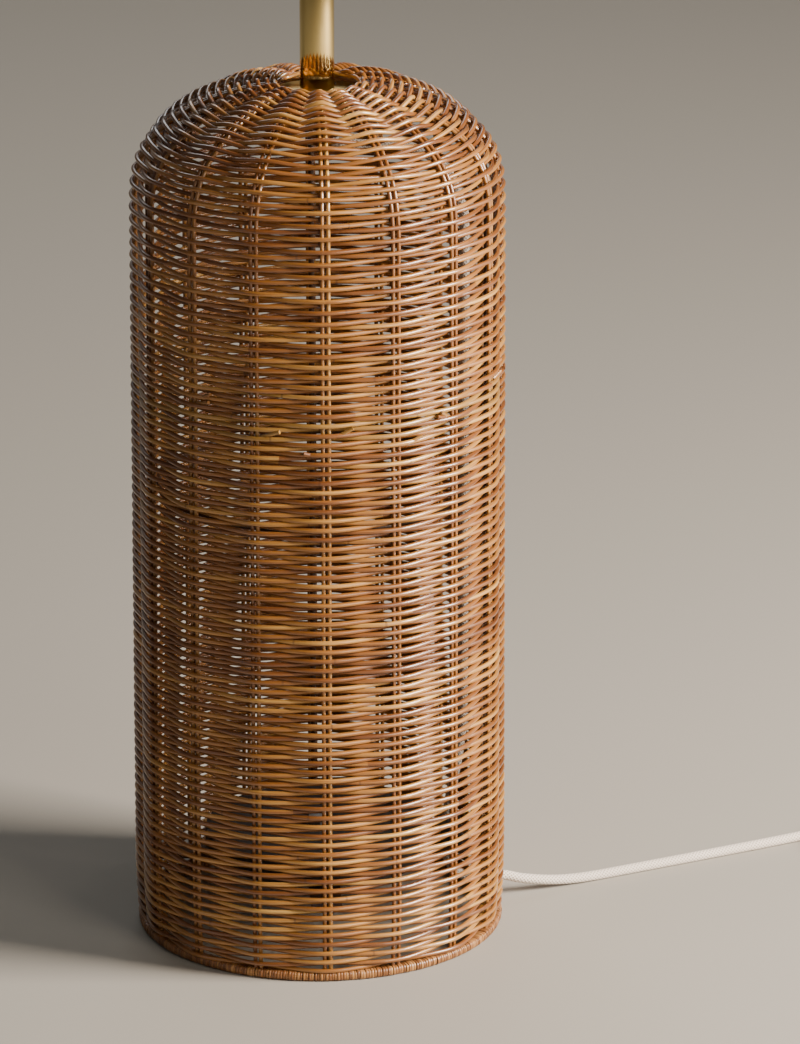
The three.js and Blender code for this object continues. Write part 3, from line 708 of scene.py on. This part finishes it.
def weave_tree():
    """One of two chasing spirals of cane, over one pair of stakes and under the next."""
    tree, given = growing_tree("chasing weave", {
        "First row": 0.0, "Last row": 10.0, "Strand": 0.0, "Points a turn": POINTS_A_TURN,
        "Pairs": 16.0, "First pair": 0.0, "Unevenness": 0.0002, "Cane": CANE})
    rows = given["Geometry"]
    span = add(tree, MATH, {0: given["Last row"], 1: given["First row"]}, operation="SUBTRACT")
    total = add(tree, MATH, {0: span, 1: given["Points a turn"]}, operation="MULTIPLY")
    count = add(tree, MATH, {0: total, 1: 2}, operation="DIVIDE")
    line = add(tree, "GeometryNodeMeshLine", {"Count": count})
    index = add(tree, "GeometryNodeInputIndex")
    turn = add(tree, MATH, {0: index, 1: given["Points a turn"]}, operation="DIVIDE")
    row = add(tree, MATH, {0: turn, 1: 2, 2: given["First row"]}, operation="MULTIPLY_ADD")
    swept = add(tree, MATH, {0: row, 1: given["Strand"]}, operation="SUBTRACT")
    angle = add(tree, MATH, {0: swept, 1: math.pi}, operation="MULTIPLY")
    below = add(tree, MATH, {0: row}, operation="FLOOR")
    above = add(tree, MATH, {0: below, 1: 1}, operation="ADD")
    share = add(tree, MATH, {0: row}, operation="FRACT")
    read = []
    for what in ("position", "inward", "lie"):
        field = add(tree, "GeometryNodeInputNamedAttribute", {"Name": what},
                    data_type="FLOAT_VECTOR")
        ends = [add(tree, "GeometryNodeSampleIndex", {"Geometry": rows, "Value": field,
                    "Index": at}, data_type="FLOAT_VECTOR") for at in (below, above)]
        read.append(add(tree, MIX, {0: share, 4: ends[0], 5: ends[1]}, data_type="VECTOR"))
    place, inward, lie = read
    lies = add(tree, "ShaderNodeSeparateXYZ", {0: lie})
    # Over and under: half the number of pairs makes the waves, with their peaks on the pairs.
    from_pair = add(tree, MATH, {0: angle, 1: given["First pair"]}, operation="SUBTRACT")
    half = add(tree, MATH, {0: given["Pairs"], 1: 2}, operation="DIVIDE")
    phase = add(tree, MATH, {0: from_pair, 1: half}, operation="MULTIPLY")
    wave = add(tree, MATH, {0: phase}, operation="COSINE")
    sharp = add(tree, MATH, {0: add(tree, MATH, {0: phase, 1: 3}, operation="MULTIPLY")},
                operation="COSINE")
    wave = add(tree, MATH, {0: sharp, 1: 0.06, 2: wave}, operation="MULTIPLY_ADD")
    side = add(tree, MATH, {0: given["Strand"], 1: 2, 2: -1}, operation="MULTIPLY_ADD")
    swing = add(tree, MATH, {0: lies.outputs["Y"], 1: side}, operation="MULTIPLY")
    spot = add(tree, "ShaderNodeCombineXYZ", {
        "X": add(tree, MATH, {0: angle, 1: 1.9}, operation="MULTIPLY"),
        "Y": add(tree, MATH, {0: given["Strand"], 1: 31.7}, operation="MULTIPLY")})
    loose = add(tree, NOISE, {"Vector": spot, "Scale": 1, "Detail": 2})
    stray = add(tree, VECTOR_MATH, {0: loose.outputs["Color"], 1: (0.5, 0.5, 0.5)},
                operation="SUBTRACT")
    stray = add(tree, "ShaderNodeSeparateXYZ", {0: stray})
    drift = add(tree, MATH, {0: stray.outputs["X"], 1: given["Unevenness"]},
                operation="MULTIPLY")
    lift = add(tree, MATH, {0: stray.outputs["Y"], 1: given["Unevenness"]},
               operation="MULTIPLY")
    depth = add(tree, MATH, {0: swing, 1: wave, 2: lies.outputs["X"]}, operation="MULTIPLY_ADD")
    depth = add(tree, MATH, {0: depth, 1: drift}, operation="ADD")
    moved = add(tree, VECTOR_MATH, {0: inward, "Scale": depth}, operation="SCALE")
    moved = add(tree, VECTOR_MATH, {0: place, 1: moved}, operation="ADD")
    upward = add(tree, VECTOR_MATH, {0: inward, 1: (0, 1, 0)}, operation="CROSS_PRODUCT")
    raised = add(tree, VECTOR_MATH, {0: upward, "Scale": lift}, operation="SCALE")
    moved = add(tree, VECTOR_MATH, {0: moved, 1: raised}, operation="ADD")
    round_axis = add(tree, "ShaderNodeVectorRotate", {"Vector": moved, "Angle": angle},
                     rotation_type="Z_AXIS")
    laid = add(tree, "GeometryNodeSetPosition", {"Geometry": line, "Position": round_axis})
    used = add(tree, MATH, {0: angle, 1: CANE_A_RADIAN}, operation="MULTIPLY")
    store = add(tree, "GeometryNodeStoreNamedAttribute", {
        "Geometry": laid, "Name": "along", "Value": used}, data_type="FLOAT")
    store = add(tree, "GeometryNodeStoreNamedAttribute", {
        "Geometry": store, "Name": "strand", "Value": given["Strand"]}, data_type="FLOAT")
    store = add(tree, "GeometryNodeStoreNamedAttribute", {
        "Geometry": store, "Name": "thick", "Value": add(tree, MATH, {
            0: lies.outputs["Z"], 1: add(tree, MATH, {0: stray.outputs["Z"], 1: 0.16, 2: 1},
                                         operation="MULTIPLY_ADD")}, operation="MULTIPLY")},
        data_type="FLOAT")
    size = add(tree, "GeometryNodeInputNamedAttribute", {"Name": "thick"}, data_type="FLOAT")
    finish_tree(tree, round_cane(tree, store, size), given["Cane"])
    return tree


rows, lengths = rows_mesh()
JOIN_ROW = next(i for i, length in enumerate(lengths) if length > JOIN_LENGTH)
weave = weave_tree()
for strand, letter in ((0, "a"), (1, "b")):
    join = JOIN_ROW + (JOIN_ROW + strand) % 2
    for zone, first, last in (("lower", strand, join), ("upper", join, len(lengths) - 1.05)):
        piece = grown(f"{zone}_weave_{letter}", rows.copy(), weave, first_row=float(first),
                      last_row=float(last), strand=float(strand), pairs=float(PAIRS),
                      first_pair=FIRST_PAIR, unevenness=UNEVENNESS * MM, cane=CANE,
                      points_a_turn=POINTS_A_TURN)
        nodes = ("woven_wall",) if zone == "lower" else ("woven_upper_wall", "woven_dome")
        settle(piece, None, "root", "cane", *nodes)


def stakes_tree():
    """Pairs of canes that stand up the wall and lean in over the dome."""
    tree, given = growing_tree("stake pairs", {
        "Pairs": 16, "First pair": 0.0, "Spacing": 0.0038, "Radius": 0.0014, "Waver": 0.0005,
        "Cane": CANE})
    points = add(tree, "GeometryNodeMeshLine", {"Count": add(
        tree, MATH, {0: given["Pairs"], 1: 2}, operation="MULTIPLY")})
    index = add(tree, "GeometryNodeInputIndex")
    pair = add(tree, MATH, {0: add(tree, MATH, {0: index, 1: 2}, operation="DIVIDE")},
               operation="FLOOR")
    step = add(tree, MATH, {0: 2 * math.pi, 1: given["Pairs"]}, operation="DIVIDE")
    angle = add(tree, MATH, {0: pair, 1: step, 2: given["First pair"]},
                operation="MULTIPLY_ADD")
    turn = add(tree, "ShaderNodeCombineXYZ", {"Z": angle})
    aside = add(tree, MATH, {0: add(tree, MATH, {0: index, 1: 2}, operation="MODULO"),
                             1: 0.5}, operation="SUBTRACT")
    aside = add(tree, MATH, {0: aside, 1: given["Spacing"]}, operation="MULTIPLY")
    aside = add(tree, "ShaderNodeVectorRotate", {
        "Vector": add(tree, "ShaderNodeCombineXYZ", {"Y": aside}), "Angle": angle},
        rotation_type="Z_AXIS")
    home = add(tree, "GeometryNodeSetPosition", {"Geometry": points, "Position": aside})
    home = add(tree, "GeometryNodeStoreNamedAttribute", {
        "Geometry": home, "Name": "strand", "Value": add(tree, MATH, {0: index, 1: 3.37, 2: 5},
        operation="MULTIPLY_ADD")}, data_type="FLOAT")
    stakes = add(tree, "GeometryNodeInstanceOnPoints", {
        "Points": home, "Instance": given["Geometry"], "Rotation": turn})
    real = add(tree, "GeometryNodeRealizeInstances", {"Geometry": stakes})
    spot = add(tree, VECTOR_MATH, {0: add(tree, "GeometryNodeInputPosition"), 1: (90, 90, 22)},
               operation="MULTIPLY")
    stray = add(tree, VECTOR_MATH, {0: add(tree, NOISE, {
        "Vector": spot, "Scale": 1, "Detail": 1}).outputs["Color"], 1: (0.5, 0.5, 0.5)},
        operation="SUBTRACT")
    stray = add(tree, VECTOR_MATH, {0: stray, "Scale": given["Waver"]}, operation="SCALE")
    waved = add(tree, "GeometryNodeSetPosition", {"Geometry": real, "Offset": stray})
    size = add(tree, MATH, {0: given["Radius"], 1: 2}, operation="MULTIPLY")
    finish_tree(tree, round_cane(tree, waved, size), given["Cane"])
    return tree


def meridian_mesh(name, depth, low, end_length, step=5):
    """A line up the body at a depth below its outline, at azimuth 0."""
    start = [p for p in OUTLINE if p[1] >= low or p[0] < 60]
    total = sum(math.dist(a, b) for a, b in zip(start, start[1:])) - end_length
    count = int(total / step)
    places = walk(start, [total * i / count for i in range(count + 1)])
    points = [((p[0] - way[1] * depth) * MM, 0, (p[1] + way[0] * depth) * MM)
              for p, way in places]
    mesh = bpy.data.meshes.new(name)
    mesh.from_pydata(points, [(i, i + 1) for i in range(count)], [])
    along = mesh.attributes.new("along", "FLOAT", "POINT")
    for i in range(count + 1):
        along.data[i].value = total * i / count * MM
    return mesh


stake_nodes = [f"stake_pair_{k:02d}" for k in range(1, PAIRS + 1)]
stakes = grown("stakes", meridian_mesh("stake line", STAKE_DEPTH, 1.4, 4), stakes_tree(),
               pairs=PAIRS, first_pair=FIRST_PAIR, spacing=PAIR_SPACING * MM,
               radius=STAKE_RADIUS * MM, waver=WAVER * MM, cane=CANE)
settle(stakes, None, "root", "cane", *stake_nodes)


def end_lines():
    """Ends of cane beside the pairs, where one length stops and the next is laid in."""
    chance = random.Random(11)
    mesh = bpy.data.meshes.new("end lines")
    points, edges, owners = [], [], []
    for _ in range(ENDS):
        side = chance.choice((-1, 1))
        height, lean = chance.uniform(ENDS_LOW, ENDS_HIGH), chance.uniform(0.2, 0.55)
        length = chance.uniform(8, 13)
        start = FIRST_PAIR + chance.randrange(PAIRS) * 2 * math.pi / PAIRS
        start += side * 5 / WALL_RADIUS
        owner = chance.uniform(1, 90)
        for i in range(5):
            a = start + side * length * i / 4 / WALL_RADIUS
            r, z = wall_radius(height) - 3.8 + 2.9 * i / 4, height + length * lean * i / 4
            points.append((r * math.cos(a) * MM, r * math.sin(a) * MM, z * MM))
            owners.append(owner)
            if i:
                edges.append((len(points) - 2, len(points) - 1))
    mesh.from_pydata(points, edges, [])
    strand = mesh.attributes.new("strand", "FLOAT", "POINT")
    strand.data.foreach_set("value", owners)
    return mesh


def canes_tree():
    """A round cane along each line of a mesh."""
    tree, given = growing_tree("canes on lines", {"Thickness": 0.003, "Cane": CANE})
    finish_tree(tree, round_cane(tree, given["Geometry"], given["Thickness"]), given["Cane"])
    return tree


ends = grown("cane_ends", end_lines(), canes_tree(), thickness=0.0024, cane=CANE)
settle(ends, None, "root", "cane", "woven_upper_wall")


# ---- the foot

def wrap_mesh():
    """One wrap of flat cane round the rim's section, at azimuth 0."""
    low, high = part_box("foot_binding")
    outer, tall = high.x / MM, high.z / MM
    middle = Vector(((outer + WRAP_INNER) / 2, 0, tall / 2))
    reach = (outer - WRAP_INNER - WRAP_THICKNESS) / 2
    rise = (tall - WRAP_THICKNESS) / 2
    corners = [(-reach, -rise), (reach, -rise), (reach, rise), (-reach, rise)]
    line = eased_outline(corners, 2.6, 3)
    path = [middle + Vector((x, 0, z)) for x, z in line]
    mesh = bpy.data.meshes.new("wrap")
    shape = bmesh.new()
    section = [(-WRAP_HALF_WIDTH, 0), (-0.5 * WRAP_HALF_WIDTH, 0.16),
               (0.5 * WRAP_HALF_WIDTH, 0.16), (WRAP_HALF_WIDTH, 0), (0, -0.5 * WRAP_THICKNESS)]
    rings = []
    for i, point in enumerate(path):
        way = (path[(i + 1) % len(path)] - path[i - 1]).normalized()
        out = Vector((way.z, 0, -way.x))
        rings.append([shape.verts.new((point + Vector((0, 1, 0)) * u + out * v) * MM)
                      for u, v in section])
    for low_ring, high_ring in zip(rings, rings[1:] + rings[:1]):
        for k in range(len(section)):
            j = (k + 1) % len(section)
            shape.faces.new((low_ring[k], low_ring[j], high_ring[j], high_ring[k]))
    bmesh.ops.recalc_face_normals(shape, faces=shape.faces)
    shape.to_mesh(mesh)
    shape.free()
    return mesh


def binding_tree():
    """Wraps of split cane side by side round the rim, each toned a little apart."""
    tree, given = growing_tree("rim binding", {"Wraps": 200, "Strip": STRIP})
    points = add(tree, "GeometryNodeMeshLine", {"Count": given["Wraps"], "Offset": (0, 0, 0)})
    index = add(tree, "GeometryNodeInputIndex")
    angle = add(tree, MATH, {0: add(tree, MATH, {0: index, 1: given["Wraps"]},
                operation="DIVIDE"), 1: 2 * math.pi}, operation="MULTIPLY")
    jitter = add(tree, "FunctionNodeRandomValue", {
        2: -0.0016, 3: 0.0016, "ID": index, "Seed": 4}, data_type="FLOAT")
    angle = add(tree, MATH, {0: angle, 1: jitter}, operation="ADD")
    tone = add(tree, "FunctionNodeRandomValue", {2: 0.0, 3: 1.0, "ID": index, "Seed": 9},
               data_type="FLOAT")
    toned = add(tree, "GeometryNodeStoreNamedAttribute", {
        "Geometry": points, "Name": "tone", "Value": tone}, data_type="FLOAT")
    turn = add(tree, "ShaderNodeCombineXYZ", {"Z": angle})
    swell = add(tree, "FunctionNodeRandomValue", {
        0: (0.996, 0.82, 0.93), 1: (1.0, 1.12, 1.0), "ID": index, "Seed": 12},
        data_type="FLOAT_VECTOR")
    wraps = add(tree, "GeometryNodeInstanceOnPoints", {
        "Points": toned, "Instance": given["Geometry"], "Rotation": turn, "Scale": swell})
    finish_tree(tree, wraps, given["Strip"])
    return tree


binding = grown("rim_binding", wrap_mesh(), binding_tree(), wraps=WRAPS, strip=STRIP)
settle(binding, None, "root", "cane_strip", "foot_binding")


# ---- the steel frame

def sleeve(bore, radius, low, high):
    """The outline of a disc or tube with a bore."""
    return [(bore, low), (radius, low), (radius, high), (bore, high)]


def hoop(name, radius, height, wire, node, sides=12, steps=120):
    path = [Vector((radius * math.cos(2 * math.pi * k / steps),
                    radius * math.sin(2 * math.pi * k / steps), height)) for k in range(steps)]
    return settle(tube(name, path, wire / 2, sides, True), STEEL_PAINT, "root", "frame_steel",
                  node)


hoop("rim_hoop", *FOOT_HOOP, HOOP_WIRE, "foot_hoop")
hoop("waist_hoop", *WAIST_HOOP, HOOP_WIRE, "middle_hoop")
hoop("lip_hoop", *LIP_HOOP, HOOP_WIRE - 0.4, "crown_hoop", 12, 72)

rib_line = meridian_mesh("rib line", RIB_DEPTH, 7, 26)
for k in range(4):
    angle = math.radians(-87 + 90 * k)
    path = [Vector((v.co.x * math.cos(angle), v.co.x * math.sin(angle), v.co.z)) / MM
            for v in rib_line.vertices]
    rib = tube(f"rib_wire_{k + 1}", path, 1.95, 12)
    settle(rib, STEEL_PAINT, "root", "frame_steel", f"frame_rib_{k + 1}")

settle(eased_copy("cross_bars", "base_cross", 0.6), STEEL_PAINT, "root", "frame_steel",
       "base_cross")
ballast = turned("ballast_casting", sleeve(*BALLAST), 1.8)
settle(ballast, IRON_PAINT, "root", "cast_iron", "ballast_disc")
settle(eased_copy("washer_under", "base_washer", 0.25), ZINC, "root", "zinc", "base_washer")
settle(eased_copy("nut_under", "base_nut", 0.5), ZINC, "root", "zinc", "base_nut")
settle(eased_copy("bolt_ballast", "ballast_bolt", 0.5), ZINC, "root", "zinc", "ballast_bolt")
settle(eased_copy("nut_crown", "crown_nut", 0.5), ZINC, "root", "zinc", "crown_nut")


def rod_outline(low, high, radius, bore, pitch):
    """A thread drawn as ridges, one for each turn."""
    points = [(bore, low), (radius - 0.45, low)]
    z = low
    while z + pitch < high:
        points += [(radius, z + pitch / 2), (radius - 0.45, z + pitch)]
        z += pitch
    return points + [(radius - 0.45, high), (bore, high)]


rod = turned("threaded_tube", rod_outline(ROD_LOW, ROD_HIGH, 5, 4, 1.4), 0, 32)
settle(rod, ZINC, "root", "zinc", "threaded_rod")

# ---- the stem and the lampholder

disc = turned("brass_disc", sleeve(*DISC), 0.3, 128)
settle(disc, SATIN_BRASS, "root", "polished_brass", "crown_disc")
stem = turned("brass_stem", sleeve(*STEM), 0.25, 128)
settle(stem, BRASS, "root", "polished_brass", "stem_tube")
collar = turned("stem_collar", sleeve(*COLLAR), 0.7, 128)
settle(collar, BRASS, "root", "polished_brass", "stem_cap")

CAP = 683.6
cap_outline = [(5.3, CAP), (8, CAP), (8.6, CAP + 3), (13, CAP + 4.6), (17.2, CAP + 8.2),
               (19.4, CAP + 13), (19.6, CAP + 18), (19.6, CAP + 22), (18.6, CAP + 22),
               (18.6, CAP + 14), (16, CAP + 8.6), (12, CAP + 5.8), (5.3, CAP + 4.4)]
cap = turned("holder_cap_shell", cap_outline, 0.8, 128)
settle(cap, BRASS, "root", "polished_brass", "holder_cap")


def holder_outline():
    """A brass skirt: a beaded foot, then a rolled thread for the shade rings."""
    low, high, inner, outer = 705.9, 747.6, 18.6, 19.6
    points = [(inner, low), (outer, low), (outer, low + 3), (outer - 0.4, low + 3.6)]
    z = low + 5
    while z + 2.2 < high - 1:
        points += [(outer - 0.5, z), (outer, z + 0.7), (outer, z + 1.2), (outer - 0.5, z + 1.9)]
        z += 2.2
    return points + [(outer - 0.4, high), (inner, high)]


settle(turned("holder_skirt", holder_outline(), 0.15, 128), BRASS, "root", "polished_brass",
       "holder_shell")
liner = turned("porcelain_liner", sleeve(15, 18.3, CAP + 24.3, 748.6), 0.7, 96)
settle(liner, GLAZE, "root", "ceramic", "holder_liner")


def screw_outline():
    """The lamp's screw shell: rolled thread, 3.6 mm a turn, drawn as rings."""
    outer, inner = [], []
    for k in range(12 * 5 + 1):
        z = 713.9 + 20 * k / 60
        wave = 0.32 * math.cos(2 * math.pi * (z - 713.9) / 3.6)
        outer.append((13.66 + wave, z))
        inner.append((13.3 + wave, z))
    return outer + inner[::-1]


settle(turned("lamp_screw_shell", screw_outline(), 0, 64), BRASS, "root", "polished_brass",
       "screw_shell")
settle(eased_copy("contact_tongue", "centre_contact", 0.15), BRASS, "root", "polished_brass",
       "centre_contact")
settle(eased_copy("switch_block", "switch_body", 0.6), NYLON, "root", "nylon", "switch_body")
settle(eased_copy("cap_grub_screw", "holder_grub_screw", 0.2), ZINC, "root", "zinc",
       "holder_grub_screw")
settle(eased_copy("switch_spindle", "switch_shaft", 0.2), BRASS, "switch", "polished_brass",
       "switch_shaft")
settle(eased_copy("switch_key", "switch_knob", 0.6, 25, 3), BRASS, "switch", "polished_brass",
       "switch_knob")


def knurl(limit):
    """Fine straight knurling on the rim beyond a radius."""
    return lambda a, r, z: (0.22 * math.cos(48 * a) - 0.22) if r > limit else 0


lower_ring = turned("shade_ring_low", [
    (19.9, 715.9), (29, 715.9), (29, 717.5), (22.5, 717.5), (22.5, 721.9), (19.9, 721.9)],
    0.35, 192, knurl(28))
settle(lower_ring, BRASS, "lower_ring", "polished_brass", "shade_ring_lower")
upper_ring = turned("shade_ring_high", [
    (19.9, 723.9), (25, 723.9), (27, 725.9), (27, 727.9), (25.5, 728.6), (19.9, 728.9)],
    0.35, 192, knurl(26))
settle(upper_ring, BRASS, "upper_ring", "polished_brass", "shade_ring_upper")

# ---- the lead inside

inner_path = [Vector(exit_point(r, z)) for r, z in (
    (113, 15), (108, 15), (104, 15), (93, 19.5), (87.5, 29), (86, 40), (86, 60), (90, 82),
    (95, 112), (97, 145), (97, 300), (97, 455), (94, 480), (84, 502), (66, 516), (44, 522),
    (24, 523), (10, 526), (2, 535))]
inner_path += [Vector((0, 0, z)) for z in (548, 600, 690.6)]
inner = tube("lead_inside", resampled(inner_path, 4), FLEX_DIAMETER / 2, 16)
settle(inner, BRAID, "root", "braid", "inner_lead")
settle(eased_copy("lead_clamp", "cord_clamp", 0.8), NYLON, "root", "nylon", "cord_clamp")

# ---- floor and light

floor_mesh = bpy.data.meshes.new("floor")
floor_mesh.from_pydata([(-14, -14, 0), (14, -14, 0), (14, 14, 0), (-14, 14, 0)], [],
                       [(0, 1, 2, 3)])
floor = new_object("floor", floor_mesh)
floor_mesh.materials.append(material("matt studio floor", "#9D9990", 0.75)[2])


def softbox(name, place, aim, size, power, colour):
    light = bpy.data.lights.new(name, "AREA")
    light.shape = "RECTANGLE"
    light.size, light.size_y = size
    light.energy = power
    light.color = linear(colour)[:3]
    lamp = bpy.data.objects.new(name, light)
    lamp.location = place
    lamp.rotation_euler = (Vector(aim) - Vector(place)).to_track_quat("-Z", "Y").to_euler()
    lamp.visible_camera = False
    bpy.context.scene.collection.objects.link(lamp)


softbox("key softbox", (2.2, -0.55, 1.3), (0, 0, 0.3), (0.9, 1.1), 270, "#FFF2E6")
softbox("low softbox", (0.95, -1.3, 0.75), (0, 0, 0.3), (0.5, 1.1), 9, "#FFF4E6")
softbox("front softbox", (0.3, -2.7, 2.2), (0, 0, 0.3), (1.4, 1.4), 3, "#FFF8F0")
softbox("fill softbox", (-2.4, -1.4, 1.3), (0, 0, 0.3), (1.0, 1.6), 3, "#FFFFFF")
softbox("back softbox", (-0.6, 2.6, 2.2), (0, 0, 0.4), (2.0, 1.2), 20, "#FFFFFF")
world = bpy.data.worlds.new("studio")
world.use_nodes = True
world.node_tree.nodes["Background"].inputs["Color"].default_value = linear("#E6E4DE")
world.node_tree.nodes["Background"].inputs["Strength"].default_value = 0.08
bpy.context.scene.world = world
